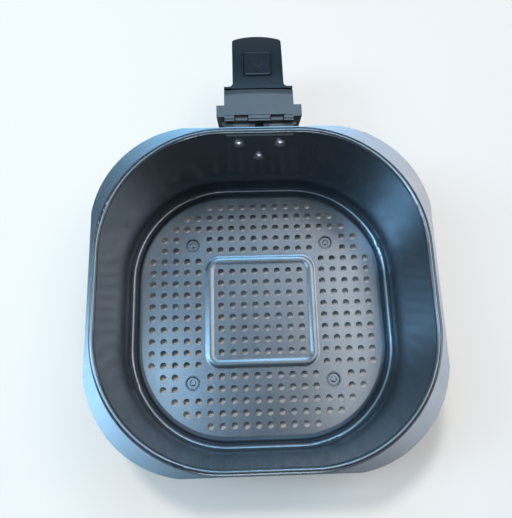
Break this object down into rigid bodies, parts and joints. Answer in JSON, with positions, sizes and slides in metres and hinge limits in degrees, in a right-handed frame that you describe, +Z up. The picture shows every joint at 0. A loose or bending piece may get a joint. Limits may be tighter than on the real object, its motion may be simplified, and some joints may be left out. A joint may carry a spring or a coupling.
{
  "type": "air fryer basket",
  "caption": "Square non-stick steel basket with large round corners, a perforated floor, riveted feet and a plastic handle with a push button that draws back two latch hooks.",
  "frame": {"origin": "middle of the part's footprint, on the surface that the four feet stand on", "axes": "+Z up, out of the basket's mouth; +Y from the basket out along the handle; +X to the right when looking along +Y"},
  "size_m": [0.23, 0.3092, 0.107],
  "materials": {
    "coating": "satin non-stick coating, dark slate",
    "silicone": "matt moulded silicone",
    "rivet": "satin coated steel rivet",
    "steel": "bright stainless",
    "brass": "knurled brass",
    "plastic": "fine-grained black",
    "cover_plastic": "satin black"
  },
  "bodies": {
    "basket": {"basket_shell": "coating", "foot_front_left": "silicone", "foot_front_right": "silicone", "foot_rear_left": "silicone", "foot_rear_right": "silicone", "foot_rivets": "rivet", "foot_washers": "steel", "wall_screws": "steel", "threaded_inserts": "brass", "handle_body": "plastic", "mount_cover": "cover_plastic", "grip_cover": "plastic", "latch_pin": "steel", "return_spring": "steel", "mount_cover_screws": "steel", "grip_cover_screws": "steel"},
    "button": {"release_button": "cover_plastic"},
    "lever": {"latch_lever": "plastic"}
  },
  "joints": [
    {"name": "button_press", "type": "slide", "parent": "basket", "child": "button", "axis": [0, -0.2172, -0.9761], "range_m": [0, 0.004], "stiffness_N_per_m": 250, "deforming": ["return_spring"]},
    {"name": "latch_pivot", "type": "hinge", "parent": "basket", "child": "lever", "pos_m": [0, 0.0882, 0.082], "axis": [-1, 0, 0], "range_deg": [0, 6.61]}
  ],
  "couplings": [
    {"joint": "latch_pivot", "follows": "button_press", "rad_per_m": 28.8}
  ]
}
